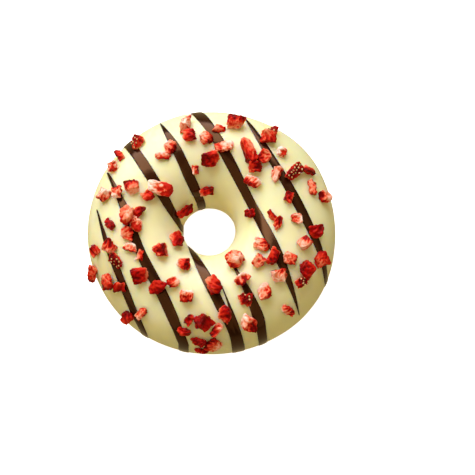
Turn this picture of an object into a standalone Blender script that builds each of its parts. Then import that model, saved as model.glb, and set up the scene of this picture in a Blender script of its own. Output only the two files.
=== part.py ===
"""A ring doughnut: fried dough in a coat of white chocolate, with dark chocolate lines across it
and crumbs of dried strawberry strewn on top.

Metres, +Z up. The origin is on the table, under the middle of the doughnut with all its crumbs.

A place on the ring is given by two angles. "around" runs round the ring from +X towards +Y.
"over" runs over its cross-section: 0 at the outer waist, 90 at the crown and 180 in the hole.
"""

import math
import random

import bmesh
import bpy
from mathutils import Matrix, Vector

MM = 0.001

# The ring, measured over the coat
RING_MIDDLE = Vector((-0.1 * MM, 0.7 * MM, 0.0))
OUTER_RADIUS = 45.7 * MM
HOLE_RADIUS = 9.7 * MM
HOLE_SHIFT = (-0.7 * MM, -0.2 * MM)
WAIST_HEIGHT = 14.5 * MM
CROWN_RISE = 16.4 * MM
BELLY_DROP = 17.0 * MM
ROUNDNESS = 2.15
# Where the ring has spread outwards: degrees around, how far, and over how many degrees
SWELLINGS = ((40, 1.1 * MM, 14), (255, 0.3 * MM, 30), (325, 1.2 * MM, 20))

# The dough under the coat, which it meets with a hair's gap
COAT_THICKNESS = 1.2 * MM
COAT_GAP = 0.5 * MM
DOUGH_SEGMENTS = 40
DOUGH_SIDES = 20

# The coat's two lower edges, one outside and one in the hole, and the waves that they run in:
# how many round the ring, how deep in degrees, and where they start
COAT_SEGMENTS = 56
COAT_STEPS = 18
LINING_STEPS = 14
OUTER_EDGE = -24
HOLE_EDGE = 204
EDGE_WAVES = ((4, 1.6, 20), (7, 1.4, 75), (13, 0.9, 140))

# The cross-section of a line of dark chocolate: shares of its half width, each with its height
DRIZZLE_TOP = ((-1.1, -0.25 * MM), (-0.85, 0.4 * MM), (0.85, 0.4 * MM), (1.1, -0.25 * MM))
DRIZZLE_FOOT = ((0.7, -0.7 * MM), (-0.7, -0.7 * MM))
DRIZZLE_STEP = 5.0 * MM
# A line is drawn out no thinner than this
LEAST_WIDTH = 0.6 * MM
# An end that is wider than a tip runs on over the ring's edge and down its side, to these angles
TIP_WIDTH = 2.1 * MM
OUTER_FALL = -15
HOLE_FALL = 192
# The lines as they lie when seen from above, from the back to the front: x, y and width in millimetres
DRIZZLES = {
    "left": ((-41.4, 5, 0.5), (-37, -9, 2.3), (-33, -19, 3), (-28, -31, 3.4), (-24, -39, 3.2)),
    "left_crown": ((-38, 19.5, 0.8), (-31, 4, 3), (-24.5, -13, 3.6), (-16.5, -28.5, 3.9), (-9.5, -44, 3.8)),
    "back_left": ((-31, 31.5, 3.8), (-24, 20, 4), (-15.5, 6.5, 3.6), (-11, 0, 3)),
    "front_left": ((-7.5, -8, 2.6), (-1.5, -21, 3.7), (3.3, -31, 3.6), (7.7, -40, 2.7), (9.1, -45, 2.6)),
    "front_twin": ((4.1, -24.5, 0.3), (6.6, -31, 0.8), (9.2, -38.5, 2.2), (11.1, -44.6, 2.8)),
    "back": ((-19.2, 39.4, 0.3), (-16.4, 33.7, 1.9), (-12.5, 26.5, 3.4), (-7.5, 16, 3.9), (-3.5, 9, 3)),
    "front_right": ((8.6, -17.5, 0.8), (13, -26, 2.6), (17, -35, 4.1), (19, -42, 3.4)),
    "right_crown": ((-5.5, 43.5, 4.4), (2, 31, 3.9), (13.5, 9, 3.8), (24.5, -14, 3.6), (32, -33, 0.3)),
    "right": ((12.2, 41.3, 0.3), (15.5, 35, 1.9), (21, 25, 2.9), (30, 9, 3.6), (39, -9.5, 3.2), (42, -19.5, 2.8)),
}

# The strawberry crumbs that stand out: degrees around and over, length in millimetres and, on a
# sliver, the direction that its length lies in when seen from above
LANDMARKS = (
    (148, 107, 7.4, -10), (150, 154, 6, 15), (60, 88, 8, -65), (30, 70, 6.6, 50), (203, 18, 6, 60),
    (76, 60, 5.8, None), (300, 120, 6, None), (340, 45, 6, None), (132, 50, 5.2, None), (44, 111, 6.2, -25),
    (94, 144, 5.2, 0), (272, 29, 5.2, None), (265, 34, 5, 0), (266, 14, 4, 0),
)
# The others fell where they would: how many, their least, greatest and usual length in millimetres,
# how many of them are slivers, and how near two may lie as a share of their mean length
STREWN = 70
STREWN_LENGTH = (3.2, 6.4, 4.8)
SLIVER_SHARE = 0.35
SPACING = 0.85
STREW_SEED = 48888
# They lie thickest over the crown, and more thinly towards the back
CROWN = 82
CROWN_SPREAD = 40
STREWN_BAND = (16, 150)
BACK = 105
BACK_SPREAD = 32
BACK_SHARE = 0.45
# The block that a crumb was cut as, in shares of its length: long, wide, and high from least to most
DIE = (0.92, 0.84, 0.6, 0.82)
SLIVER = (1.03, 0.55, 0.46, 0.6)
# How far its corners and its sides' middles are worn, how far it leans in degrees, and how deep it sits
CORNER_WEAR = (0.5, 1.22)
SIDE_WEAR = (0.8, 1.65)
CRUMB_LEAN = 24
CRUMB_SINK = 0.7 * MM

# Base colour and roughness of each food
COAT_LOOK = ((0.86, 0.78, 0.5, 1.0), 0.3)
CHOCOLATE_LOOK = ((0.045, 0.018, 0.01, 1.0), 0.28)
CRUMB_LOOK = ((0.55, 0.02, 0.015, 1.0), 0.5)
DOUGH_LOOK = ((0.5, 0.25, 0.08, 1.0), 0.75)


def signed_power(value, power):
    return math.copysign(abs(value) ** power, value)


def degrees_apart(one, other):
    """How far apart two directions are, at most 180 degrees."""
    return abs((one - other + 180) % 360 - 180)


def bell(away, spread):
    return math.exp(-0.5 * (away / spread) ** 2)


def section(around):
    """Middle radius and half width of the ring's cross-section at this angle."""
    outer = OUTER_RADIUS
    for at, rise, spread in SWELLINGS:
        outer += rise * bell(degrees_apart(math.degrees(around), at), spread)
    hole = HOLE_RADIUS + HOLE_SHIFT[0] * math.cos(around) + HOLE_SHIFT[1] * math.sin(around)
    return (outer + hole) / 2, (outer - hole) / 2


def on_ring(around, over, lift=0.0):
    """The point of the coat's outer surface at two angles, raised by lift, and the way out of it."""
    middle, half_width = section(around)
    half_height = CROWN_RISE if math.sin(over) > 0 else BELLY_DROP
    across = half_width * signed_power(math.cos(over), 2 / ROUNDNESS)
    above = half_height * signed_power(math.sin(over), 2 / ROUNDNESS)
    out_across = signed_power(math.cos(over), 2 - 2 / ROUNDNESS) / half_width
    out_above = signed_power(math.sin(over), 2 - 2 / ROUNDNESS) / half_height
    away = Vector((math.cos(around), math.sin(around), 0.0))
    outward = (away * out_across + Vector((0.0, 0.0, out_above))).normalized()
    point = RING_MIDDLE + away * (middle + across) + Vector((0.0, 0.0, WAIST_HEIGHT + above))
    return point + outward * lift, outward


def angles_of(point):
    """The two angles of the place on the ring that is nearest to a point close to it."""
    x, y, z = point - RING_MIDDLE
    around = math.atan2(y, x)
    middle, half_width = section(around)
    above = z - WAIST_HEIGHT
    above /= CROWN_RISE if above > 0 else BELLY_DROP
    across = (math.hypot(x, y) - middle) / half_width
    return around, math.atan2(signed_power(above, ROUNDNESS / 2), signed_power(across, ROUNDNESS / 2))


def angles_below(x, y):
    """The two angles of the top of the ring straight below a place in plan, or of its nearest edge."""
    around = math.atan2(y, x)
    middle, half_width = section(around)
    across = max(-1.0, min(1.0, (math.hypot(x, y) - middle) / half_width))
    return around, math.acos(signed_power(across, ROUNDNESS / 2))


def place_above(around, over):
    """The place in plan of two angles, the other way round."""
    middle, half_width = section(around)
    reach = middle + half_width * signed_power(math.cos(over), 2 / ROUNDNESS)
    return reach * math.cos(around), reach * math.sin(around)


def material(name, look):
    colour, roughness = look
    made = bpy.data.materials.new(name)
    made.use_nodes = True
    made.diffuse_color = colour
    shader = made.node_tree.nodes["Principled BSDF"]
    shader.inputs["Base Color"].default_value = colour
    shader.inputs["Roughness"].default_value = roughness
    shader.inputs["Metallic"].default_value = 0.0
    return made


def solid(name, bm, finish):
    mesh = bpy.data.meshes.new(name)
    bm.to_mesh(mesh)
    bm.free()
    mesh.materials.append(finish)
    obj = bpy.data.objects.new(name, mesh)
    bpy.context.scene.collection.objects.link(obj)
    return obj


def lofted(name, loops, finish, ring):
    """A solid through loops of equally many points. In a ring the last loop meets the first again."""
    bm = bmesh.new()
    rows = [[bm.verts.new(point) for point in loop] for loop in loops]
    for here, there in zip(rows, rows[1:] + rows[:1] if ring else rows[1:]):
        for j, corner in enumerate(here):
            bm.faces.new((here[j - 1], there[j - 1], there[j], corner))
    if not ring:
        bm.faces.new(rows[0])
        bm.faces.new(reversed(rows[-1]))
    return solid(name, bm, finish)


def dough(finish):
    """The fried ring, rounded like the coat and flat where it stands."""
    loops = []
    for i in range(DOUGH_SEGMENTS):
        around = math.tau * i / DOUGH_SEGMENTS
        loop = []
        for j in range(DOUGH_SIDES):
            point, _ = on_ring(around, math.tau * j / DOUGH_SIDES, -COAT_THICKNESS - COAT_GAP)
            loop.append(Vector((point.x, point.y, max(point.z, 0.0))))
        loops.append(loop)
    return lofted("dough_ring", loops, finish, ring=True)


def edge_wave(around):
    return sum(depth * math.sin(count * around + math.radians(start)) for count, depth, start in EDGE_WAVES)


def coat(finish):
    """The shell of white chocolate, open underneath, with rounded lower edges."""
    loops = []
    for i in range(COAT_SEGMENTS):
        around = math.tau * i / COAT_SEGMENTS
        first = math.radians(OUTER_EDGE + edge_wave(around))
        last = math.radians(HOLE_EDGE + edge_wave(-around))
        step = (last - first) / COAT_STEPS
        outside = [on_ring(around, first + step * j)[0] for j in range(COAT_STEPS + 1)]
        back = (last - first) / LINING_STEPS
        inside = [on_ring(around, last - back * j, -COAT_THICKNESS)[0] for j in range(LINING_STEPS + 1)]
        hole_rim = on_ring(around, last + step / 3, -COAT_THICKNESS / 2)[0]
        outer_rim = on_ring(around, first - step / 3, -COAT_THICKNESS / 2)[0]
        loops.append([*outside, hole_rim, *inside, outer_rim])
    return lofted("icing", loops, finish, ring=True)


def smooth_run(points, share):
    """A place along a smooth curve through points, at this share of its length."""
    reach = share * (len(points) - 1)
    i = min(int(reach), len(points) - 2)
    before, start = points[max(i - 1, 0)], points[i]
    end, after = points[i + 1], points[min(i + 2, len(points) - 1)]
    t = reach - i
    slope_in, slope_out = (end - before) / 2, (after - start) / 2
    return (
        start * (2 * t**3 - 3 * t**2 + 1)
        + slope_in * (t**3 - 2 * t**2 + t)
        + end * (3 * t**2 - 2 * t**3)
        + slope_out * (t**3 - t**2)
    )


def fall(around, over, width):
    """Steps down the ring's side from a place near its edge: (around, over, width)."""
    end = math.radians(OUTER_FALL if over < math.pi / 2 else HOLE_FALL)
    steps = 6
    return [(around, over + (end - over) * i / steps, width) for i in range(1, steps + 1)]


def drizzle_stations(plan):
    """Places along one line, evenly spaced over the ring: (around, over, width)."""
    run = [Vector(place) * MM for place in plan]
    samples = 160
    places = []
    for i in range(samples + 1):
        x, y, width = smooth_run(run, i / samples)
        places.append((*angles_below(x, y), width))
    if run[0].z > TIP_WIDTH:
        places = fall(*places[0])[::-1] + places
    if run[-1].z > TIP_WIDTH:
        places += fall(*places[-1])
    points = [on_ring(around, over)[0] for around, over, _ in places]
    gone = [0.0]
    for before, after in zip(points, points[1:]):
        gone.append(gone[-1] + (after - before).length)
    count = round(gone[-1] / DRIZZLE_STEP)
    even = []
    for i in range(count + 1):
        wanted = gone[-1] * i / count
        even.append(places[min(range(len(gone)), key=lambda k: abs(gone[k] - wanted))])
    return even


def drizzle(name, plan, finish):
    """One line of dark chocolate, which follows the coat and narrows at its ends."""
    stations = drizzle_stations(plan)
    centres = [on_ring(around, over) for around, over, _ in stations]
    loops = []
    for i, (_, _, width) in enumerate(stations):
        point, outward = centres[i]
        along = centres[min(i + 1, len(centres) - 1)][0] - centres[max(i - 1, 0)][0]
        aside = outward.cross(along).normalized()
        narrowed = width * (0.35 if i in (0, len(stations) - 1) else 1.0)
        half_width = max(narrowed, LEAST_WIDTH) / 2
        loop = []
        for share, height in (*DRIZZLE_TOP, *DRIZZLE_FOOT):
            beside = point + aside * (share * half_width)
            loop.append(on_ring(*angles_of(beside), height)[0])
        loops.append(loop)
    return lofted(name, loops, finish, ring=False)


def strewn_crumbs():
    """Every crumb as (around, over, length, turn): the landmarks, and then the others from the largest."""
    chance = random.Random(STREW_SEED)
    lengths = sorted((chance.triangular(*STREWN_LENGTH) for _ in range(STREWN)), reverse=True)
    crumbs = list(LANDMARKS)
    lying = []
    for around, over, size, _ in crumbs:
        lying.append((place_above(math.radians(around), math.radians(over)), size))
    while lengths:
        place = [chance.uniform(-OUTER_RADIUS, OUTER_RADIUS) for _ in range(2)]
        around, over = (math.degrees(angle) for angle in angles_below(*place))
        thickness = bell(over - CROWN, CROWN_SPREAD)
        thickness *= 1 - (1 - BACK_SHARE) * bell(degrees_apart(around, BACK), BACK_SPREAD)
        stays = chance.random() < thickness and STREWN_BAND[0] < over < STREWN_BAND[1]
        length = lengths[0]
        clear = all(math.dist(place, spot) > SPACING * (length + size) / 2 * MM for spot, size in lying)
        if stays and clear:
            lying.append((place, lengths.pop(0)))
            turn = chance.uniform(0, 180) if chance.random() < SLIVER_SHARE else None
            crumbs.append((around, over, length, turn))
    return crumbs


def crumb(number, around, over, length, turn, finish):
    """One crumb: a cut block, worn out of shape, that leans a little where it sits in the coat."""
    chance = random.Random(number)
    long_share, wide_share, low_share, high_share = DIE if turn is None else SLIVER
    size = Vector((long_share, wide_share, chance.uniform(low_share, high_share))) * length * MM
    bm = bmesh.new()
    bmesh.ops.create_cube(bm, size=1.0)
    for corner in bm.verts:
        wear = Vector([chance.uniform(*CORNER_WEAR) for _ in range(3)])
        corner.co = corner.co * wear * size
    for middle in bmesh.ops.poke(bm, faces=bm.faces)["verts"]:
        middle.co *= chance.uniform(*SIDE_WEAR)
    lean = [math.radians(chance.uniform(-CRUMB_LEAN, CRUMB_LEAN)) for _ in range(2)]
    bm.transform(Matrix.Rotation(lean[0], 4, "X") @ Matrix.Rotation(lean[1], 4, "Y"))
    piece = solid(f"crumb_{number:02d}", bm, finish)
    seat, outward = on_ring(math.radians(around), math.radians(over))
    turn = math.radians(chance.uniform(0, 360) if turn is None else turn)
    along = Vector((math.cos(turn), math.sin(turn), 0.0))
    along = (along - outward * along.dot(outward)).normalized()
    stance = Matrix((along, outward.cross(along), outward)).transposed().to_4x4()
    lowest = min(corner.co.z for corner in piece.data.vertices)
    piece.matrix_world = Matrix.Translation(seat - outward * (lowest + CRUMB_SINK)) @ stance
    return piece


def fuse(body, toppings):
    """Joins the toppings to the body in one union, and removes them."""
    group = bpy.data.collections.new("toppings")
    bpy.context.scene.collection.children.link(group)
    for piece in toppings:
        bpy.context.scene.collection.objects.unlink(piece)
        group.objects.link(piece)
    union = body.modifiers.new("toppings", "BOOLEAN")
    union.operation = "UNION"
    union.operand_type = "COLLECTION"
    union.collection = group
    union.solver = "EXACT"
    union.material_mode = "TRANSFER"
    seen = body.evaluated_get(bpy.context.evaluated_depsgraph_get())
    fused = bpy.data.meshes.new_from_object(seen)
    body.modifiers.clear()
    body.data = fused
    fused.name = body.name
    for piece in toppings:
        bpy.data.objects.remove(piece)
    bpy.data.collections.remove(group)


def build():
    for obj in list(bpy.data.objects):
        bpy.data.objects.remove(obj)
    white_chocolate = material("white_chocolate", COAT_LOOK)
    dark_chocolate = material("dark_chocolate", CHOCOLATE_LOOK)
    strawberry = material("strawberry", CRUMB_LOOK)
    ring = dough(material("fried_dough", DOUGH_LOOK))
    icing = coat(white_chocolate)
    toppings = [drizzle(f"drizzle_{name}", plan, dark_chocolate) for name, plan in DRIZZLES.items()]
    toppings += [crumb(number, *place, strawberry) for number, place in enumerate(strewn_crumbs())]
    fuse(icing, toppings)
    ring.data.shade_smooth()


build()
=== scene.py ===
"""The looks of a ring doughnut: fried dough in a coat of white chocolate, with dark chocolate lines
across it and crumbs of dried strawberry strewn on top.

Metres, +Z up. A place on the ring is given by two angles. "around" runs round the ring from +X towards
+Y. "over" runs over its cross-section: 0 at the outer waist, 90 at the crown and 180 in the hole.
"""

import math
import random

import bmesh
import bpy
from mathutils import Matrix, Vector


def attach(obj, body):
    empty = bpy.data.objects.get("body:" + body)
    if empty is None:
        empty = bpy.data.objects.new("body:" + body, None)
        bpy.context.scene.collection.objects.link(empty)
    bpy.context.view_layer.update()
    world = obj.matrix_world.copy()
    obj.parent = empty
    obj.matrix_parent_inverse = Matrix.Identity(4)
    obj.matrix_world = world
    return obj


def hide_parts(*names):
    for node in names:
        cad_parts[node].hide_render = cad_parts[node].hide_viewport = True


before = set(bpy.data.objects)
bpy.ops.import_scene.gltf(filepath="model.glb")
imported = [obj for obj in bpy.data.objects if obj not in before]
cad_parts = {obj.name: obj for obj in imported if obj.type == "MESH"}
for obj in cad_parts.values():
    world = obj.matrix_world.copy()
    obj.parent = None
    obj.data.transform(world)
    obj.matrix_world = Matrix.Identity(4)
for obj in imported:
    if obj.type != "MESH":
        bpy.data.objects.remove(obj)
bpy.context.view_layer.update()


# The dough ring
# Raised wheat dough, cut as a ring and fried, so its skin is golden brown, blistered and wrinkled.
# It proved lying down, which left the flat band underneath that it stands on.

MM = 0.001
RING_MIDDLE = Vector((-0.1 * MM, 0.7 * MM, 0.0))
OUTER_RADIUS = 45.7 * MM
HOLE_RADIUS = 9.7 * MM
HOLE_SHIFT = (-0.7 * MM, -0.2 * MM)
WAIST_HEIGHT = 14.5 * MM
CROWN_RISE = 16.4 * MM
BELLY_DROP = 17.0 * MM
ROUNDNESS = 2.15
# Where the ring has spread outwards: degrees around, how far, and over how many degrees
SWELLINGS = ((40, 1.1 * MM, 14), (255, 0.3 * MM, 30), (325, 1.2 * MM, 20))
USUAL_HALF_WIDTH = (OUTER_RADIUS - HOLE_RADIUS) / 2
# The dough's skin lies this deep under the outside of the coat
DOUGH_DEPTH = 1.1 * MM
PATH_POINTS = 720
OUTLINE_POINTS = 360
# Points nearer than this are one and the same, where a sweep meets its own start
SEAM_REACH = 0.01 * MM


def signed_power(value, power):
    return math.copysign(abs(value) ** power, value)


def degrees_apart(one, other):
    """How far apart two directions are, at most 180 degrees."""
    return abs((one - other + 180) % 360 - 180)


def bell(away, spread):
    return math.exp(-0.5 * (away / spread) ** 2)


def ring_section(around):
    """Middle radius and half width of the ring's cross-section at this angle."""
    outer = OUTER_RADIUS
    for at, rise, spread in SWELLINGS:
        outer += rise * bell(degrees_apart(math.degrees(around), at), spread)
    hole = HOLE_RADIUS + HOLE_SHIFT[0] * math.cos(around) + HOLE_SHIFT[1] * math.sin(around)
    return (outer + hole) / 2, (outer - hole) / 2


def section_point(over, lift=0.0, half_width=USUAL_HALF_WIDTH):
    """A point of the cross-section, across and up, raised by lift, and the way out of it."""
    half_height = CROWN_RISE if math.sin(over) > 0 else BELLY_DROP
    across = half_width * signed_power(math.cos(over), 2 / ROUNDNESS)
    above = half_height * signed_power(math.sin(over), 2 / ROUNDNESS)
    out_across = signed_power(math.cos(over), 2 - 2 / ROUNDNESS) / half_width
    out_above = signed_power(math.sin(over), 2 - 2 / ROUNDNESS) / half_height
    outward = Vector((out_across, out_above)).normalized()
    return Vector((across, above)) + outward * lift, outward


def new_object(name, mesh=None):
    obj = bpy.data.objects.new(name, mesh or bpy.data.meshes.new(name))
    bpy.context.scene.collection.objects.link(obj)
    return obj


def guide(name, runs, closed, **values):
    """Runs of points joined by edges, which a tree follows, with named values on the points."""
    points = [point for run in runs for point in run]
    edges = []
    first = 0
    for run in runs:
        steps = len(run) if closed else len(run) - 1
        edges += [(first + i, first + (i + 1) % len(run)) for i in range(steps)]
        first += len(run)
    mesh = bpy.data.meshes.new(name)
    mesh.from_pydata(points, edges, [])
    for label, numbers in values.items():
        if isinstance(numbers[0], float):
            mesh.attributes.new(label, "FLOAT", "POINT").data.foreach_set("value", numbers)
        else:
            flat = [number for triple in numbers for number in triple]
            mesh.attributes.new(label, "FLOAT_VECTOR", "POINT").data.foreach_set("vector", flat)
    return bpy.data.objects.new(name, mesh)


def new_tree(name, sizes):
    """A Geometry Nodes tree with named inputs, each of a kind, and the sockets at its two ends."""
    tree = bpy.data.node_groups.new(name, "GeometryNodeTree")
    for label, kind in {"Geometry": "Geometry", **sizes}.items():
        tree.interface.new_socket(label, in_out="INPUT", socket_type=f"NodeSocket{kind}")
    tree.interface.new_socket("Geometry", in_out="OUTPUT", socket_type="NodeSocketGeometry")
    given = tree.nodes.new("NodeGroupInput").outputs
    result = tree.nodes.new("NodeGroupOutput").inputs[0]
    return tree, given, result


def add(tree, kind, inputs=None, **settings):
    """Adds a node with these settings. Each input is set, or linked from another node's output."""
    node = tree.nodes.new(kind)
    for name, value in settings.items():
        setattr(node, name, value)
    for socket, value in (inputs or {}).items():
        if isinstance(value, bpy.types.NodeSocket):
            tree.links.new(value, node.inputs[socket])
        else:
            node.inputs[socket].default_value = value
    return node.outputs


def maths(tree, operation, *values):
    return add(tree, "ShaderNodeMath", dict(enumerate(values)), operation=operation)[0]


def vector_maths(tree, operation, *values):
    """Vector arithmetic. In SCALE the second value is a number."""
    inputs = {0: values[0], "Scale": values[1]} if operation == "SCALE" else dict(enumerate(values))
    return add(tree, "ShaderNodeVectorMath", inputs, operation=operation)[0]


def parts_of(tree, vector):
    """The three numbers of a vector."""
    return add(tree, "ShaderNodeSeparateXYZ", {0: vector})


def value_on(tree, label, kind="FLOAT"):
    """A named value of the geometry."""
    return add(tree, "GeometryNodeInputNamedAttribute", {"Name": label}, data_type=kind)[0]


def noise(tree, feature_size, detail, place=None):
    """Noise from -0.5 to 0.5, with features of this size, by the point's place or another vector."""
    place = place or add(tree, "GeometryNodeInputPosition")[0]
    scale = maths(tree, "DIVIDE", 1.0, feature_size)
    pattern = add(tree, "ShaderNodeTexNoise", {"Vector": place, "Scale": scale, "Detail": detail})
    return maths(tree, "SUBTRACT", pattern["Fac"], 0.5)


def raised(tree, geometry, height):
    """Moves a surface outwards by a height that may vary over it."""
    normal = add(tree, "GeometryNodeInputNormal")[0]
    offset = vector_maths(tree, "SCALE", normal, height)
    return add(tree, "GeometryNodeSetPosition", {"Geometry": geometry, "Offset": offset})[0]


def curve_from(tree, source):
    """The curve that runs through a guide's points."""
    mesh = add(tree, "GeometryNodeObjectInfo", {"Object": source})["Geometry"]
    return add(tree, "GeometryNodeMeshToCurve", {"Mesh": mesh})[0]


def end_tree(tree, geometry, material, result):
    """Every tree ends in a smooth real mesh with its material."""
    smooth = add(tree, "GeometryNodeSetShadeSmooth", {"Geometry": geometry})[0]
    real = add(tree, "GeometryNodeRealizeInstances", {"Geometry": smooth})[0]
    finished = add(tree, "GeometryNodeSetMaterial", {"Geometry": real, "Material": material})[0]
    tree.links.new(finished, result)


def grow(obj, tree, **sizes):
    """Runs a tree on an object, with its inputs set by name, and keeps what it makes as a plain mesh."""
    modifier = obj.modifiers.new(tree.name, "NODES")
    modifier.node_group = tree
    sockets = tree.interface.items_tree
    identifiers = {socket.name: socket.identifier for socket in sockets if socket.in_out == "INPUT"}
    for label, value in sizes.items():
        modifier[identifiers[label]] = value
    seen = obj.evaluated_get(bpy.context.evaluated_depsgraph_get())
    made = bpy.data.meshes.new_from_object(seen)
    obj.modifiers.clear()
    obj.data = made
    made.name = obj.name
    for value in sizes.values():
        if isinstance(value, bpy.types.Object) and not value.users_collection:
            bpy.data.objects.remove(value)


def ring_tree():
    """Sweeps a closed cross-section round a path, and closes both seams. On the path, "span" holds the
    width there as a share of the usual one, and how far the outer and the hole's edge have slid. On the
    section, "slide" holds the way that a point slides, and 0 for the outer edge or 1 for the hole's."""
    tree, given, result = new_tree("ring", {
        "path": "Object", "section": "Object", "steps_around": "Int", "steps_over": "Int",
        "swell": "Float", "swell_size": "Float", "wrinkle": "Float", "wrinkle_size": "Float",
        "material": "Material",
    })
    path, section = curve_from(tree, given["path"]), curve_from(tree, given["section"])
    grid = add(tree, "GeometryNodeMeshGrid", {
        "Vertices X": maths(tree, "ADD", given["steps_around"], 1.0),
        "Vertices Y": maths(tree, "ADD", given["steps_over"], 1.0),
    })
    share = parts_of(tree, grid["UV Map"])

    def sampled(curve, share, label):
        value = value_on(tree, label, "FLOAT_VECTOR")
        sample = add(
            tree, "GeometryNodeSampleCurve", {"Curves": curve, "Factor": share, "Value": value},
            mode="FACTOR", data_type="FLOAT_VECTOR",
        )
        return sample["Position"], parts_of(tree, sample["Value"])

    middle, span = sampled(path, share["X"], "span")
    outline, slide = sampled(section, share["Y"], "slide")
    outline = parts_of(tree, outline)
    slid = add(tree, "ShaderNodeMix", {0: slide["Z"], 2: span["Y"], 3: span["Z"]})[0]
    across = maths(tree, "MULTIPLY", maths(tree, "MULTIPLY_ADD", slide["X"], slid, outline["X"]), span["X"])
    above = maths(tree, "MULTIPLY_ADD", slide["Y"], slid, outline["Y"])
    from_middle = vector_maths(tree, "SUBTRACT", middle, tuple(RING_MIDDLE))
    away = vector_maths(tree, "NORMALIZE", vector_maths(tree, "MULTIPLY", from_middle, (1.0, 1.0, 0.0)))
    up = add(tree, "ShaderNodeCombineXYZ", {"Z": above})[0]
    beyond = vector_maths(tree, "ADD", vector_maths(tree, "SCALE", away, across), up)
    place = vector_maths(tree, "ADD", middle, beyond)
    swept = add(tree, "GeometryNodeSetPosition", {"Geometry": grid["Mesh"], "Position": place})[0]
    closed = add(tree, "GeometryNodeMergeByDistance", {"Geometry": swept, "Distance": SEAM_REACH})[0]
    swell = maths(tree, "MULTIPLY", noise(tree, given["swell_size"], 1.0), given["swell"])
    wrinkle = maths(tree, "MULTIPLY", noise(tree, given["wrinkle_size"], 3.0), given["wrinkle"])
    uneven = raised(tree, closed, maths(tree, "ADD", swell, wrinkle))
    seat = parts_of(tree, add(tree, "GeometryNodeInputPosition")[0])
    above_table = maths(tree, "MAXIMUM", seat["Z"], 0.0)
    rested = add(tree, "ShaderNodeCombineXYZ", {"X": seat["X"], "Y": seat["Y"], "Z": above_table})[0]
    standing = add(tree, "GeometryNodeSetPosition", {"Geometry": uneven, "Position": rested})[0]
    end_tree(tree, standing, given["material"], result)
    return tree


def new_finish(name):
    """A material, its tree, its shader's inputs and the object's own coordinates."""
    made = bpy.data.materials.new(name)
    made.use_nodes = True
    tree = made.node_tree
    return made, tree, tree.nodes["Principled BSDF"].inputs, add(tree, "ShaderNodeTexCoord")["Object"]


def grain(tree, place, feature_size, detail):
    """Noise from 0 to 1 with features of this size."""
    inputs = {"Vector": place, "Scale": 1 / feature_size, "Detail": detail}
    return add(tree, "ShaderNodeTexNoise", inputs)["Fac"]


def roughen(tree, pattern, shader, least, most):
    """The surface is as smooth as least where the pattern is 0, and as rough as most where it is 1."""
    inputs = {"Value": pattern, "To Min": least, "To Max": most}
    tree.links.new(add(tree, "ShaderNodeMapRange", inputs)["Result"], shader["Roughness"])


def ramp(tree, share, *stops):
    """A colour that runs through stops, each a share and a linear colour."""
    node = tree.nodes.new("ShaderNodeValToRGB")
    tree.links.new(share, node.inputs[0])
    elements = node.color_ramp.elements
    while len(elements) < len(stops):
        elements.new(1.0)
    for element, (position, colour) in zip(elements, stops):
        element.position = position
        element.color = (*colour, 1.0)
    return node.outputs["Color"]


def relief(tree, height, shader, depth, strength):
    """Fine relief in the light only, of this depth."""
    bump = add(tree, "ShaderNodeBump", {"Height": height, "Distance": depth, "Strength": strength})
    tree.links.new(bump["Normal"], shader["Normal"])


BLISTER_SIZE = 1.5 * MM
# How much higher the blisters stand than the fine grain between them
BLISTER_SHARE = 1.4


def fried_dough():
    made, tree, shader, place = new_finish("fried_dough")
    brown, golden, pale = (0.42, 0.17, 0.04), (0.58, 0.29, 0.085), (0.72, 0.45, 0.17)
    browning = grain(tree, place, feature_size=11 * MM, detail=5.0)
    tree.links.new(ramp(tree, browning, (0.3, brown), (0.5, golden), (0.7, pale)), shader["Base Color"])
    blisters = add(tree, "ShaderNodeTexVoronoi", {"Vector": place, "Scale": 1 / BLISTER_SIZE})["Distance"]
    crumbly = grain(tree, place, feature_size=0.7 * MM, detail=3.0)
    roughen(tree, crumbly, shader, least=0.45, most=0.75)
    skin = maths(tree, "MULTIPLY_ADD", blisters, BLISTER_SHARE, crumbly)
    relief(tree, skin, shader, depth=0.2 * MM, strength=0.5)
    shader["Subsurface Weight"].default_value = 0.15
    shader["Subsurface Scale"].default_value = 1.0 * MM
    return made


def ring_path(name, wave):
    """The middle of the ring's cross-section all the way round, with its width and its edges' waves."""
    points, spans = [], []
    for i in range(PATH_POINTS):
        around = math.tau * i / PATH_POINTS
        middle, half_width = ring_section(around)
        away = Vector((math.cos(around), math.sin(around), 0.0))
        points.append(RING_MIDDLE + away * middle + Vector((0.0, 0.0, WAIST_HEIGHT)))
        spans.append((half_width / USUAL_HALF_WIDTH, wave(around), wave(-around)))
    return guide(name, [points], True, span=spans)


def dough_outline():
    """The dough's cross-section, all the way over and back underneath."""
    points = []
    for i in range(OUTLINE_POINTS):
        point, _ = section_point(math.tau * i / OUTLINE_POINTS, -DOUGH_DEPTH)
        points.append((*point, 0.0))
    return guide("dough_outline", [points], True, slide=[(0.0, 0.0, 0.0)] * OUTLINE_POINTS)


swept_ring = ring_tree()
dough = new_object("dough")
grow(
    dough, swept_ring, path=ring_path("dough_path", lambda around: 0.0), section=dough_outline(),
    steps_around=300, steps_over=140, swell=0.5 * MM, swell_size=12 * MM, wrinkle=0.35 * MM,
    wrinkle_size=2.2 * MM, material=fried_dough(),
)
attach(dough, "root")
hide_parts("dough_ring")


# The white chocolate coat
# The ring was dipped upside down in melted white chocolate, nearly to its lower edge. The coat set as
# a smooth glossy shell a good millimetre thick, whose edges run in gentle waves with a rounded lip.

COAT_THICKNESS = 1.2 * MM
OUTER_EDGE = math.radians(-24)
HOLE_EDGE = math.radians(204)
# The waves of the two edges: how many round the ring, how deep in degrees, and where they start
EDGE_WAVES = ((4, 1.6, 20), (7, 1.4, 75), (13, 0.9, 140))
# How far above its edge the coat still takes part in the edge's waves
EDGE_REACH = math.radians(25)
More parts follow.
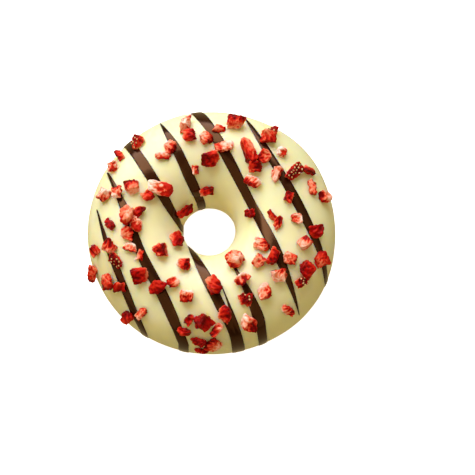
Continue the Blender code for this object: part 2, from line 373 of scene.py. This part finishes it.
# The turn over which the coat's direction at a point is measured
SMALL_TURN = math.radians(0.5)
COAT_STEPS = 220
LIP_STEPS = 8


def edge_wave(around):
    """How far the edge has slid over the cross-section at this angle, in radians."""
    slid = 0.0
    for count, depth, start in EDGE_WAVES:
        slid += depth * math.sin(count * around + math.radians(start))
    return math.radians(slid)


def edge_slide(over):
    """The way that a point of the coat slides with its edge, and 1 if that edge is the hole's."""
    over = min(max(over, OUTER_EDGE), HOLE_EDGE)
    hole_side = over > math.pi / 2
    to_edge = HOLE_EDGE - over if hole_side else over - OUTER_EDGE
    share = max(0.0, 1 - to_edge / EDGE_REACH)
    ahead, behind = section_point(over + SMALL_TURN)[0], section_point(over - SMALL_TURN)[0]
    step = (ahead - behind) / (2 * SMALL_TURN)
    eased = share * share * (3 - 2 * share)
    return (*step * eased, float(hole_side))


def coat_outline():
    """The coat's cross-section: over the top, round the hole's lip, back along the dough and round the
    outer lip."""
    whole = HOLE_EDGE - OUTER_EDGE
    top = [(OUTER_EDGE + whole * i / COAT_STEPS, 0.0) for i in range(COAT_STEPS + 1)]
    lining = [(over, -COAT_THICKNESS) for over, _ in reversed(top)]
    lip = []
    for i in range(1, LIP_STEPS):
        turn = math.pi * i / LIP_STEPS
        beyond = COAT_THICKNESS / 2 * math.sin(turn) / CROWN_RISE
        lip.append((beyond, -COAT_THICKNESS / 2 * (1 - math.cos(turn))))
    hole_lip = [(HOLE_EDGE + beyond, lift) for beyond, lift in lip]
    outer_lip = [(OUTER_EDGE - beyond, lift) for beyond, lift in reversed(lip)]
    points, slides = [], []
    for over, lift in top + hole_lip + lining + outer_lip:
        points.append((*section_point(over, lift)[0], 0.0))
        slides.append(edge_slide(over))
    return guide("coat_outline", [points], True, slide=slides)


def white_chocolate():
    made, tree, shader, place = new_finish("white_chocolate")
    warm, light = (0.87, 0.78, 0.41), (0.90, 0.82, 0.47)
    cream = grain(tree, place, feature_size=18 * MM, detail=3.0)
    tree.links.new(ramp(tree, cream, (0.3, warm), (0.7, light)), shader["Base Color"])
    roughen(tree, grain(tree, place, feature_size=6 * MM, detail=4.0), shader, least=0.3, most=0.46)
    uneven = grain(tree, place, feature_size=2.4 * MM, detail=2.0)
    relief(tree, uneven, shader, depth=0.2 * MM, strength=0.12)
    shader["Subsurface Weight"].default_value = 1.0
    shader["Subsurface Radius"].default_value = (1.0, 0.75, 0.3)
    shader["Subsurface Scale"].default_value = 3.5 * MM
    shader["IOR"].default_value = 1.5
    return made


coat = new_object("white_chocolate_coat")
grow(
    coat, swept_ring, path=ring_path("coat_path", edge_wave), section=coat_outline(),
    steps_around=360, steps_over=240, swell=0.5 * MM, swell_size=22 * MM, wrinkle=0.0,
    wrinkle_size=1.0 * MM, material=white_chocolate(),
)
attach(coat, "root")
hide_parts("icing")


# The dark chocolate lines
# Melted dark chocolate, drizzled from a moving nozzle while the coat was soft, so that each line lies
# nearly flush, with crisp edges and a flat top. Wide ones run on over the ring's edge and down its side.

# The lines as they lie when seen from above, from the back to the front: x, y and width in millimetres
LINES = {
    "left": ((-41.4, 5, 0.5), (-37, -9, 2.3), (-33, -19, 3), (-28, -31, 3.4), (-24, -39, 3.2)),
    "left_crown": ((-38, 19.5, 0.8), (-31, 4, 3), (-24.5, -13, 3.6), (-16.5, -28.5, 3.9), (-9.5, -44, 3.8)),
    "back_left": ((-31, 31.5, 3.8), (-24, 20, 4), (-15.5, 6.5, 3.6), (-11, 0, 3)),
    "front_left": ((-7.5, -8, 2.6), (-1.5, -21, 3.7), (3.3, -31, 3.6), (7.7, -40, 2.7), (9.1, -45, 2.6)),
    "front_twin": ((4.1, -24.5, 0.3), (6.6, -31, 0.8), (9.2, -38.5, 2.2), (11.1, -44.6, 2.8)),
    "back": ((-19.2, 39.4, 0.3), (-16.4, 33.7, 1.9), (-12.5, 26.5, 3.4), (-7.5, 16, 3.9), (-3.5, 9, 3)),
    "front_right": ((8.6, -17.5, 0.8), (13, -26, 2.6), (17, -35, 4.1), (19, -42, 3.4)),
    "right_crown": ((-5.5, 43.5, 4.4), (2, 31, 3.9), (13.5, 9, 3.8), (24.5, -14, 3.6), (32, -33, 0.3)),
    "right": (
        (12.2, 41.3, 0.3), (15.5, 35, 1.9), (21, 25, 2.9), (30, 9, 3.6), (39, -9.5, 3.2), (42, -19.5, 2.8),
    ),
}
# An end that is wider than a tip runs on over the ring's edge and down its side, to these angles
TIP_WIDTH = 2.1 * MM
OUTER_FALL = math.radians(-15)
HOLE_FALL = math.radians(192)
FALL_STEPS = 40
LINE_SAMPLES = 240
# An end closes round over this share of the line's width, down to a hair
ROUND_END = 0.6
HAIR = 0.04 * MM
# The cross-section of a line: shares of its half width, each with its height in millimetres
LINE_TOP = ((0.0, 0.24), (0.4, 0.23), (0.7, 0.2), (0.88, 0.16), (0.97, 0.08), (1.0, 0.0), (1.0, -0.3))


def on_ring(around, over, lift=0.0):
    """The point of the coat's outer surface at two angles, raised by lift, and the way out of it."""
    middle, half_width = ring_section(around)
    place, out = section_point(over, lift, half_width)
    away = Vector((math.cos(around), math.sin(around), 0.0))
    up = Vector((0.0, 0.0, 1.0))
    point = RING_MIDDLE + away * (middle + place.x) + up * (WAIST_HEIGHT + place.y)
    return point, away * out.x + up * out.y


def angles_below(x, y):
    """The two angles of the top of the ring straight below a place in plan, or of its nearest edge."""
    around = math.atan2(y, x)
    middle, half_width = ring_section(around)
    across = max(-1.0, min(1.0, (math.hypot(x, y) - middle) / half_width))
    return around, math.acos(signed_power(across, ROUNDNESS / 2))


def smooth_run(points, share):
    """A place along a smooth curve through points, at this share of its length."""
    reach = share * (len(points) - 1)
    i = min(int(reach), len(points) - 2)
    before, start = points[max(i - 1, 0)], points[i]
    end, after = points[i + 1], points[min(i + 2, len(points) - 1)]
    t = reach - i
    slope_in, slope_out = (end - before) / 2, (after - start) / 2
    return (
        start * (2 * t**3 - 3 * t**2 + 1)
        + slope_in * (t**3 - 2 * t**2 + t)
        + end * (3 * t**2 - 2 * t**3)
        + slope_out * (t**3 - t**2)
    )


def fall(around, over, width):
    """Steps down the ring's side from a place near its edge: (around, over, width)."""
    end = OUTER_FALL if over < math.pi / 2 else HOLE_FALL
    return [(around, over + (end - over) * i / FALL_STEPS, width) for i in range(1, FALL_STEPS + 1)]


def line_run(plan):
    """The points of one line on the ring, the way out at each, and its width there."""
    run = [Vector(place) * MM for place in plan]
    places = []
    for i in range(LINE_SAMPLES + 1):
        x, y, width = smooth_run(run, i / LINE_SAMPLES)
        places.append((*angles_below(x, y), width))
    if run[0].z > TIP_WIDTH:
        places = fall(*places[0])[::-1] + places
    if run[-1].z > TIP_WIDTH:
        places += fall(*places[-1])
    points, outward = zip(*(on_ring(around, over) for around, over, _ in places))
    gone = [0.0]
    for before, after in zip(points, points[1:]):
        gone.append(gone[-1] + (after - before).length)
    widths = []
    for way, (_, _, width) in zip(gone, places):
        to_end = min(way, gone[-1] - way)
        cut = max(0.0, 1 - to_end / (ROUND_END * width))
        widths.append(max(width * math.sqrt(1 - cut * cut), HAIR))
    return points, outward, widths


def line_profile():
    """Half a line's cross-section and its mirror image, flat, with the heights as a value."""
    other_half = [(-share, height) for share, height in reversed(LINE_TOP[1:])]
    outline = other_half + list(LINE_TOP)
    points = [(0.0, share, 0.0) for share, _ in outline]
    return guide("line_profile", [points], True, height=[height * MM for _, height in outline])


def line_tree():
    """Lays a cross-section along each line, and moulds it to the coat."""
    tree, given, result = new_tree("dark_lines", {
        "coat": "Object", "profile": "Object", "step": "Float", "ripple": "Float",
        "ripple_size": "Float", "material": "Material",
    })
    lines = add(tree, "GeometryNodeMeshToCurve", {"Mesh": given["Geometry"]})[0]
    steps = {"Curve": lines, "Length": given["step"]}
    even = add(tree, "GeometryNodeResampleCurve", steps, mode="LENGTH")[0]
    outward = value_on(tree, "outward", "FLOAT_VECTOR")
    turned = add(tree, "GeometryNodeSetCurveNormal", {"Curve": even, "Normal": outward}, mode="FREE")[0]
    ripple = maths(tree, "MULTIPLY_ADD", noise(tree, given["ripple_size"], 2.0), given["ripple"], 0.5)
    ribbons = add(tree, "GeometryNodeCurveToMesh", {
        "Curve": turned, "Profile Curve": curve_from(tree, given["profile"]),
        "Scale": maths(tree, "MULTIPLY", value_on(tree, "width"), ripple), "Fill Caps": True,
    })[0]
    coat_mesh = add(tree, "GeometryNodeObjectInfo", {"Object": given["coat"]})["Geometry"]

    def nearest(field):
        inputs = {"Mesh": coat_mesh, "Value": add(tree, field)[0]}
        return add(tree, "GeometryNodeSampleNearestSurface", inputs, data_type="FLOAT_VECTOR")[0]

    seat, out = nearest("GeometryNodeInputPosition"), nearest("GeometryNodeInputNormal")
    place = vector_maths(tree, "ADD", seat, vector_maths(tree, "SCALE", out, value_on(tree, "height")))
    moulded = add(tree, "GeometryNodeSetPosition", {"Geometry": ribbons, "Position": place})[0]
    end_tree(tree, moulded, given["material"], result)
    return tree


def dark_chocolate():
    made, tree, shader, place = new_finish("dark_chocolate")
    dark, light = (0.012, 0.003, 0.001), (0.024, 0.006, 0.002)
    cocoa = grain(tree, place, feature_size=8 * MM, detail=4.0)
    tree.links.new(ramp(tree, cocoa, (0.3, dark), (0.7, light)), shader["Base Color"])
    roughen(tree, cocoa, shader, least=0.12, most=0.22)
    uneven = grain(tree, place, feature_size=1.1 * MM, detail=2.0)
    relief(tree, uneven, shader, depth=0.1 * MM, strength=0.15)
    shader["Specular Tint"].default_value = (1.0, 0.48, 0.2, 1.0)
    shader["Specular IOR Level"].default_value = 0.5
    return made


runs, outward, widths = zip(*(line_run(plan) for plan in LINES.values()))
line_guide = guide("line_guide", runs, False, outward=sum(outward, ()), width=sum(widths, []))
dark_lines = new_object("dark_chocolate_lines", line_guide.data)
grow(
    dark_lines, line_tree(), coat=coat, profile=line_profile(), step=0.5 * MM, ripple=0.12,
    ripple_size=9 * MM, material=dark_chocolate(),
)
bpy.data.objects.remove(line_guide)
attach(dark_lines, "root")


# The dried strawberry crumbs
# Freeze-dried strawberries, cut small and strewn on before the chocolate set, so each sits a little
# in it. One side of a crumb is the berry's dark skin, and the flesh behind it is redder or paler.

# The crumbs that stand out: degrees around and over, length in millimetres, the direction that a
# sliver's length lies in when seen from above, and the part of the berry that it was cut from
LANDMARKS = (
    (148, 107, 7.4, -10, "pale"), (150, 154, 6, 15, "skin"), (60, 88, 8, -65, "flesh"),
    (30, 70, 6.6, 50, "seeds"), (203, 18, 6, 60, "skin"), (76, 60, 5.8, None, "flesh"),
    (300, 120, 6, None, "flesh"), (340, 45, 6, None, "skin"), (132, 50, 5.2, None, "seeds"),
    (44, 111, 6.2, -25, "salmon"), (94, 144, 5.2, 0, "flesh"), (272, 29, 5.2, None, "flesh"),
    (265, 34, 5, 0, "skin"), (266, 14, 4, 0, "skin"),
)
# The others fell where they would: how many, their least, greatest and usual length in millimetres,
# how many of them are slivers, and how near two may lie as a share of their mean length
STREWN = 70
STREWN_LENGTH = (3.2, 6.4, 4.8)
SLIVER_SHARE = 0.35
SPACING = 0.85
STREW_SEED = 48888
# They lie thickest over the crown, and more thinly towards the back
CROWN = 82
CROWN_SPREAD = 40
STREWN_BAND = (16, 150)
BACK = 105
BACK_SPREAD = 32
BACK_SHARE = 0.45
# The block that a crumb was cut as, in shares of its length: long, wide, and high from least to most
DIE = (0.92, 0.84, 0.6, 0.82)
SLIVER = (1.03, 0.55, 0.46, 0.6)
# How far its corners and its sides' middles are worn, how far it leans in degrees, and how deep it sits
CORNER_WEAR = (0.5, 1.22)
SIDE_WEAR = (0.8, 1.65)
CRUMB_LEAN = 24
CRUMB_SINK = 0.7 * MM
# How sharp its edges have stayed, where 1 is a knife's cut, and how sharp the folds across its sides are
EDGE_CUT = (0.75, 1.0)
SIDE_FOLD = (0.2, 0.9)
# The flesh's fibres run to the skin, so its grain is this much longer that way. Where it dries, it rises
# in ridges, and a higher sharpness makes them narrower
FIBRE_LENGTH = 3.0
RIDGE_SHARPNESS = 7.0
# The sides that face the skin at least this much, where 1 is straight at it, bear the seeds
SKIN_FACING = 0.3
# The parts of the berry: how often each is met, and how pale its flesh is, from least to most
BERRY_PARTS = {
    "flesh": (0.58, 0.12, 0.44),
    "salmon": (0.12, 0.38, 0.5),
    "skin": (0.18, 0.0, 0.15),
    "seeds": (0.06, 0.1, 0.25),
    "pale": (0.06, 0.85, 1.05),
}
PART_SEED = 103645
# How much a crumb's colour follows its blotches, its ridges and how pale it is, beside the berry's red
BLOTCH_SHARE = 1.1
# Crests are painted paler, partly the dried flesh's own tone and partly painted highlight, and the hollows
# below RIDGE_MIDDLE are painted darker as shade
RIDGE_PALENESS_AND_SHADE_SHARE = 0.55
RIDGE_MIDDLE = 0.35
PALENESS_SHARE = 1.1
RED_SHARE = 0.25
# How much less than a crumb's paleness its reddest blotch may be, and how softly that limit sets in
PALE_LEAST = 0.65
PALE_BLEND = 0.35


def place_above(around, over):
    """The place in plan of two angles."""
    middle, half_width = ring_section(around)
    reach = middle + half_width * signed_power(math.cos(over), 2 / ROUNDNESS)
    return reach * math.cos(around), reach * math.sin(around)


def strewn_crumbs():
    """Every crumb as (around, over, length, turn, part): the landmarks, then the rest from the largest."""
    chance = random.Random(STREW_SEED)
    parts = random.Random(PART_SEED)
    shares = [share for share, _, _ in BERRY_PARTS.values()]
    lengths = sorted((chance.triangular(*STREWN_LENGTH) for _ in range(STREWN)), reverse=True)
    crumbs = list(LANDMARKS)
    lying = []
    for around, over, size, _, _ in crumbs:
        lying.append((place_above(math.radians(around), math.radians(over)), size))
    while lengths:
        place = [chance.uniform(-OUTER_RADIUS, OUTER_RADIUS) for _ in range(2)]
        around, over = (math.degrees(angle) for angle in angles_below(*place))
        thickness = bell(over - CROWN, CROWN_SPREAD)
        thickness *= 1 - (1 - BACK_SHARE) * bell(degrees_apart(around, BACK), BACK_SPREAD)
        stays = chance.random() < thickness and STREWN_BAND[0] < over < STREWN_BAND[1]
        length = lengths[0]
        clear = all(math.dist(place, spot) > SPACING * (length + size) / 2 * MM for spot, size in lying)
        if stays and clear:
            lying.append((place, lengths.pop(0)))
            turn = chance.uniform(0, 180) if chance.random() < SLIVER_SHARE else None
            crumbs.append((around, over, length, turn, parts.choices(list(BERRY_PARTS), shares)[0]))
    return crumbs


def crumb(number, around, over, length, turn, part):
    """One crumb as a cut block, worn out of shape, that leans a little where it sits in the coat. Its
    values say how far each point lies from the skin, how pale it is, where it lies in the fibres' grain,
    which sides bear seeds and how sharp each edge is."""
    chance = random.Random(number)
    long_share, wide_share, low_share, high_share = DIE if turn is None else SLIVER
    size = Vector((long_share, wide_share, chance.uniform(low_share, high_share))) * length * MM
    bm = bmesh.new()
    bmesh.ops.create_cube(bm, size=1.0)
    for corner in bm.verts:
        wear = Vector([chance.uniform(*CORNER_WEAR) for _ in range(3)])
        corner.co = corner.co * wear * size

    looks = random.Random(-1 - number)
    cut = bm.edges.layers.float.new("cut")
    for edge in bm.edges:
        edge[cut] = looks.uniform(*EDGE_CUT)

    for middle in bmesh.ops.poke(bm, faces=bm.faces)["verts"]:
        middle.co *= chance.uniform(*SIDE_WEAR)
        for edge in middle.link_edges:
            edge[cut] = looks.uniform(*SIDE_FOLD)

    skin_way = Vector((0.0, 0.0, 1.0))
    if part != "seeds":
        skin_way = Vector([looks.uniform(-1, 1) for _ in range(3)]).normalized()
    _, least_pale, most_pale = BERRY_PARTS[part]
    paleness = looks.uniform(least_pale, most_pale)
    depths = bm.verts.layers.float.new("depth")
    palenesses = bm.verts.layers.float.new("paleness")
    fibres = bm.verts.layers.float_vector.new("fibre")
    # Each crumb takes its grain from another stretch of the noise
    stretch = Vector((number * size.x, 0.0, 0.0))
    for corner in bm.verts:
        share = Vector([place / whole for place, whole in zip(corner.co, size)])
        corner[depths] = 0.5 - share.dot(skin_way)
        corner[palenesses] = paleness
        to_skin = skin_way * corner.co.dot(skin_way)
        corner[fibres] = corner.co - to_skin * (1 - 1 / FIBRE_LENGTH) + stretch
    seeded = bm.faces.layers.float.new("seeded")
    for face in bm.faces:
        face[seeded] = float(part == "seeds" and face.normal.dot(skin_way) > SKIN_FACING)

    lean = [math.radians(chance.uniform(-CRUMB_LEAN, CRUMB_LEAN)) for _ in range(2)]
    bm.transform(Matrix.Rotation(lean[0], 4, "X") @ Matrix.Rotation(lean[1], 4, "Y"))
    seat, outward = on_ring(math.radians(around), math.radians(over))
    turn = math.radians(chance.uniform(0, 360) if turn is None else turn)
    along = Vector((math.cos(turn), math.sin(turn), 0.0))
    along = (along - outward * along.dot(outward)).normalized()
    stance = Matrix((along, outward.cross(along), outward)).transposed().to_4x4()
    lowest = min(corner.co.z for corner in bm.verts)
    bm.transform(Matrix.Translation(seat - outward * (lowest + CRUMB_SINK)) @ stance)
    return bm


def crumb_blocks(name, crumbs):
    """Many crumbs in one mesh."""
    blocks = bpy.data.meshes.new(name)
    heap = bmesh.new()
    for number, place in crumbs:
        block = crumb(number, *place)
        block.to_mesh(blocks)
        block.free()
        heap.from_mesh(blocks)
    heap.to_mesh(blocks)
    heap.free()
    return new_object(name, blocks)


def crumb_tree():
    """Rounds the blocks as far as their edges allow, and dries them: folds, the ridges that the fibres
    leave where the flesh between them shrinks, and a fine crinkle. "ridge" says how near a crest is."""
    tree, given, result = new_tree("dried_crumbs", {
        "level": "Int", "fold": "Float", "fold_size": "Float", "ridge": "Float", "ridge_size": "Float",
        "crinkle": "Float", "crinkle_size": "Float", "material": "Material",
    })
    worn = add(tree, "GeometryNodeSubdivisionSurface", {
        "Mesh": given["Geometry"], "Level": given["level"], "Edge Crease": value_on(tree, "cut"),
    })[0]
    fibre = value_on(tree, "fibre", "FLOAT_VECTOR")
    from_crest = maths(tree, "ABSOLUTE", noise(tree, given["ridge_size"], 1.0, fibre))
    crest = maths(tree, "MAXIMUM", maths(tree, "MULTIPLY_ADD", from_crest, -RIDGE_SHARPNESS, 1.0), 0.0)
    marked = add(tree, "GeometryNodeStoreNamedAttribute", {
        "Geometry": worn, "Name": "ridge", "Value": crest,
    }, data_type="FLOAT", domain="POINT")[0]
    fold = maths(tree, "MULTIPLY", noise(tree, given["fold_size"], 1.0), given["fold"])
    ridge = maths(tree, "MULTIPLY", maths(tree, "SUBTRACT", value_on(tree, "ridge"), 0.5), given["ridge"])
    crinkle = maths(tree, "MULTIPLY", noise(tree, given["crinkle_size"], 2.0), given["crinkle"])
    height = maths(tree, "ADD", fold, maths(tree, "ADD", ridge, crinkle))
    end_tree(tree, raised(tree, marked, height), given["material"], result)
    return tree


def strawberry():
    made, tree, shader, place = new_finish("dried_strawberry")
    depth, paleness, pit, ridge = (
        add(tree, "ShaderNodeAttribute", attribute_name=label)["Fac"]
        for label in ("depth", "paleness", "pit", "ridge")
    )
    blotch = maths(tree, "SUBTRACT", grain(tree, place, feature_size=1.6 * MM, detail=3.0), 0.5)
    patch = maths(tree, "MULTIPLY_ADD", blotch, BLOTCH_SHARE, depth)
    # The ridges paint light and shade into the colour: crests paler, part own tone and part painted
    # highlight, hollows darker as painted shade
    streak_and_ridge_shade = maths(tree, "MULTIPLY_ADD", maths(tree, "SUBTRACT", ridge, RIDGE_MIDDLE), RIDGE_PALENESS_AND_SHADE_SHARE, patch)
    strength = maths(tree, "MULTIPLY_ADD", paleness, PALENESS_SHARE, RED_SHARE)
    mixed = maths(tree, "MULTIPLY", streak_and_ridge_shade, strength)
    flesh = maths(tree, "SMOOTH_MAX", mixed, maths(tree, "SUBTRACT", paleness, PALE_LEAST), PALE_BLEND)
    skin, deep, red = (0.12, 0.000, 0.001), (0.36, 0.000, 0.001), (0.63, 0.026, 0.008)
    salmon, rose, cream = (0.79, 0.23, 0.11), (0.90, 0.55, 0.42), (0.92, 0.72, 0.58)
    colour = ramp(
        tree, flesh, (0.0, skin), (0.18, deep), (0.36, red), (0.56, salmon), (0.85, rose), (1.0, cream),
    )
    # Painted shade: the pits round the seeds are coloured near-black red, as the shade in them
    painted_pit_shade = (0.06, 0.001, 0.001, 1.0)
    with_painted_pit_shade = add(tree, "ShaderNodeMix", {0: pit, 6: colour, 7: painted_pit_shade}, data_type="RGBA")[2]
    tree.links.new(with_painted_pit_shade, shader["Base Color"])
    roughen(tree, grain(tree, place, feature_size=0.5 * MM, detail=3.0), shader, least=0.25, most=0.6)
    pores = grain(tree, place, feature_size=0.35 * MM, detail=3.0)
    relief(tree, pores, shader, depth=0.15 * MM, strength=0.5)
    shader["Specular Tint"].default_value = (1.0, 0.3, 0.2, 1.0)
    shader["Specular IOR Level"].default_value = 0.25
    shader["Subsurface Weight"].default_value = 0.05
    shader["Subsurface Radius"].default_value = (1.0, 0.12, 0.06)
    shader["Subsurface Scale"].default_value = 0.6 * MM
    return made


crumb_finish = strawberry()
dry = crumb_tree()
plain, with_seeds = [], []
for number, place in enumerate(strewn_crumbs()):
    kind = with_seeds if place[-1] == "seeds" else plain
    kind.append((number, place))
plain_crumbs = crumb_blocks("strawberry_crumbs", plain)
seeded_crumbs = crumb_blocks("strawberry_crumbs_with_seeds", with_seeds)
for pieces, level in ((plain_crumbs, 3), (seeded_crumbs, 4)):
    grow(
        pieces, dry, level=level, fold=0.8 * MM, fold_size=1.8 * MM, ridge=0.5 * MM,
        ridge_size=1.5 * MM, crinkle=0.3 * MM, crinkle_size=0.5 * MM, material=crumb_finish,
    )


# The seeds
# A strawberry's seeds sit in pits all over its skin. Dried, they are straw yellow, about a millimetre
# long, and stand out from the pits, which are painted darker as shade.

SEED_LENGTH = 0.8 * MM
# A seed's half sizes as shares of its length
SEED_SHAPE = (0.5, 0.38, 0.3)
SEED_SINK = 0.12 * MM
SEED_SPACING = 1.05 * MM
# How many places a square millimetre offers, before those that lie too near are dropped
SEED_PLACES = 2.5 / MM**2
PIT_REACH = 0.32 * MM
PIT_DEPTH = 0.3 * MM


def seed_tree():
    """Sets a seed at evenly scattered places on the sides that bear seeds."""
    tree, given, result = new_tree("seeds", {
        "spacing": "Float", "most": "Float", "length": "Float", "sink": "Float", "seed": "Int",
        "material": "Material",
    })
    places = add(tree, "GeometryNodeDistributePointsOnFaces", {
        "Mesh": given["Geometry"], "Distance Min": given["spacing"], "Density Max": given["most"],
        "Selection": maths(tree, "GREATER_THAN", value_on(tree, "seeded"), 0.5), "Seed": given["seed"],
    }, distribute_method="POISSON")
    inward = vector_maths(tree, "SCALE", places["Normal"], maths(tree, "MULTIPLY", given["sink"], -1.0))
    sunk = add(tree, "GeometryNodeSetPosition", {"Geometry": places["Points"], "Offset": inward})[0]
    seed = add(tree, "GeometryNodeMeshUVSphere", {"Segments": 10, "Rings": 7, "Radius": 1.0})["Mesh"]
    scale = vector_maths(tree, "SCALE", SEED_SHAPE, given["length"])
    turned = add(tree, "FunctionNodeRotateRotation", {
        "Rotation": places["Rotation"],
        "Rotate By": add(tree, "FunctionNodeAxisAngleToRotation", {
            "Axis": (0.0, 0.0, 1.0),
            "Angle": add(tree, "FunctionNodeRandomValue", {"Max": math.tau, "Seed": given["seed"]})[1],
        })[0],
    }, rotation_space="LOCAL")[0]
    seeds = add(tree, "GeometryNodeInstanceOnPoints", {
        "Points": sunk, "Instance": seed, "Rotation": turned, "Scale": scale,
    })[0]
    end_tree(tree, seeds, given["material"], result)
    return tree


def pit_tree():
    """Sinks a pit round each seed, and marks how deep it is. The crumbs' material paints shade into each
    pit by that mark.
    """
    tree, given, result = new_tree("pits", {
        "seeds": "Object", "reach": "Float", "pit_depth": "Float", "material": "Material",
    })
    seeds = add(tree, "GeometryNodeObjectInfo", {"Object": given["seeds"]})["Geometry"]
    away = add(tree, "GeometryNodeProximity", {0: seeds}, target_element="FACES")["Distance"]
    near = add(tree, "ShaderNodeMapRange", {
        "Value": away, "From Max": given["reach"], "To Min": 1.0, "To Max": 0.0,
    }, interpolation_type="SMOOTHSTEP")["Result"]
    marked = add(tree, "GeometryNodeStoreNamedAttribute", {
        "Geometry": given["Geometry"], "Name": "pit", "Value": near,
    }, data_type="FLOAT", domain="POINT")[0]
    sunk = raised(tree, marked, maths(tree, "MULTIPLY", value_on(tree, "pit"), given["pit_depth"]))
    end_tree(tree, sunk, given["material"], result)
    return tree


def straw_yellow():
    made, tree, shader, place = new_finish("strawberry_seed")
    brown, straw = (0.62, 0.30, 0.10), (0.88, 0.66, 0.33)
    tone = grain(tree, place, feature_size=1.3 * MM, detail=2.0)
    tree.links.new(ramp(tree, tone, (0.3, brown), (0.7, straw)), shader["Base Color"])
    roughen(tree, tone, shader, least=0.3, most=0.5)
    rough = grain(tree, place, feature_size=0.2 * MM, detail=2.0)
    relief(tree, rough, shader, depth=0.05 * MM, strength=0.4)
    return made


seeds = new_object("strawberry_seeds", seeded_crumbs.data.copy())
grow(
    seeds, seed_tree(), spacing=SEED_SPACING, most=SEED_PLACES, length=SEED_LENGTH, sink=SEED_SINK, seed=3,
    material=straw_yellow(),
)
grow(
    seeded_crumbs, pit_tree(), seeds=seeds, reach=PIT_REACH, pit_depth=-PIT_DEPTH, material=crumb_finish,
)
for piece in (plain_crumbs, seeded_crumbs, seeds):
    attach(piece, "root")


# The table
# A plain white sweep: a round floor that curves up into a wall all round. It is bright enough to stay
# white under the doughnut's soft shadow, and only the camera sees it.

SWEEP_FLOOR = 1.5
SWEEP_BEND = 0.5
SWEEP_TOP = 2.5
SWEEP_SIDES = 96
BEND_STEPS = 12


def sweep_mesh():
    """The floor, the bend and the wall, turned round the upright axis."""
    bend = [math.radians(90) * i / BEND_STEPS for i in range(BEND_STEPS + 1)]
    profile = [(SWEEP_FLOOR + SWEEP_BEND * math.sin(a), SWEEP_BEND * (1 - math.cos(a))) for a in bend]
    profile.append((SWEEP_FLOOR + SWEEP_BEND, SWEEP_TOP))
    bm = bmesh.new()
    rings = []
    for radius, height in profile:
        turns = [math.tau * i / SWEEP_SIDES for i in range(SWEEP_SIDES)]
        rings.append([bm.verts.new((radius * math.cos(a), radius * math.sin(a), height)) for a in turns])
    bm.faces.new(rings[0])
    for low, high in zip(rings, rings[1:]):
        for i in range(SWEEP_SIDES):
            bm.faces.new((low[i - 1], high[i - 1], high[i], low[i]))
    mesh = bpy.data.meshes.new("sweep")
    bm.to_mesh(mesh)
    bm.free()
    mesh.shade_smooth()
    return mesh


def white_sweep():
    made, tree, shader, place = new_finish("white_sweep")
    off_white, white = (0.86, 0.86, 0.86), (0.9, 0.9, 0.9)
    tone = grain(tree, place, feature_size=0.2, detail=2.0)
    tree.links.new(ramp(tree, tone, (0.0, off_white), (1.0, white)), shader["Base Color"])
    shader["Roughness"].default_value = 0.9
    shader["Emission Color"].default_value = (1.0, 1.0, 1.0, 1.0)
    shader["Emission Strength"].default_value = 0.95
    return made


sweep = new_object("sweep", sweep_mesh())
sweep.data.materials.append(white_sweep())
sweep.visible_diffuse = False
sweep.visible_glossy = False
sweep.visible_shadow = False


# The light
# One large soft light high at the back left, which the coat and the lines mirror on their far slopes,
# a weak wide one on either side of the camera, a dim warm room above, and below it the pale floor.

RING_AIM = Vector((0.0, 0.0, 15 * MM))
LIGHT_DISTANCE = 0.8
# The room and the floor run into each other over this much either side of the horizon
HORIZON = 0.1


def soft_light(name, way, size, power, tint):
    """A soft light, so wide and high, that shines on the doughnut from this direction."""
    light = bpy.data.lights.new(name, "AREA")
    light.shape = "RECTANGLE"
    light.size, light.size_y = size
    light.energy = power
    light.color = tint
    lamp = bpy.data.objects.new(name, light)
    lamp.location = RING_AIM + Vector(way).normalized() * LIGHT_DISTANCE
    lamp.rotation_euler = (RING_AIM - lamp.location).to_track_quat("-Z", "Y").to_euler()
    bpy.context.scene.collection.objects.link(lamp)


white, warm_white = (0.97, 0.97, 1.1), (1.0, 0.81, 0.52)
soft_light("key", way=(-0.24, 0.71, 0.66), size=(1.0, 0.76), power=12.0, tint=white)
soft_light("left", way=(-0.58, -0.34, 0.74), size=(1.3, 1.3), power=3.8, tint=warm_white)
soft_light("right", way=(0.58, -0.38, 0.72), size=(1.3, 1.3), power=2.6, tint=warm_white)

room = bpy.data.worlds.new("room")
room.use_nodes = True
bpy.context.scene.world = room
facing = add(room.node_tree, "ShaderNodeTexCoord")["Generated"]
height = add(room.node_tree, "ShaderNodeMapRange", {
    "Value": parts_of(room.node_tree, facing)["Z"], "From Min": -HORIZON, "From Max": HORIZON,
})["Result"]
floor_glow, room_glow = (0.50, 0.38, 0.17), (0.15, 0.105, 0.045)
room_colour = ramp(room.node_tree, height, (0.0, floor_glow), (1.0, room_glow))
room.node_tree.links.new(room_colour, room.node_tree.nodes["Background"].inputs["Color"])
bpy.context.scene.view_settings.view_transform = "Standard"


# The camera
# It looks down on the doughnut from the front, as the photograph does.

CAMERA_AIM = Vector((9.69 * MM, -1.82 * MM, WAIST_HEIGHT))
CAMERA_DISTANCE = 489 * MM
CAMERA_PITCH = math.radians(74.76)
LENS = 100.0
SENSOR = 36.0

lens = bpy.data.cameras.new("camera")
lens.lens = LENS
lens.sensor_width = SENSOR
lens.clip_start = 10 * MM
camera = bpy.data.objects.new("camera", lens)
towards_camera = Vector((0.0, -math.cos(CAMERA_PITCH), math.sin(CAMERA_PITCH)))
camera.location = CAMERA_AIM + towards_camera * CAMERA_DISTANCE
camera.rotation_euler = (-towards_camera).to_track_quat("-Z", "Y").to_euler()
bpy.context.scene.collection.objects.link(camera)
bpy.context.scene.camera = camera
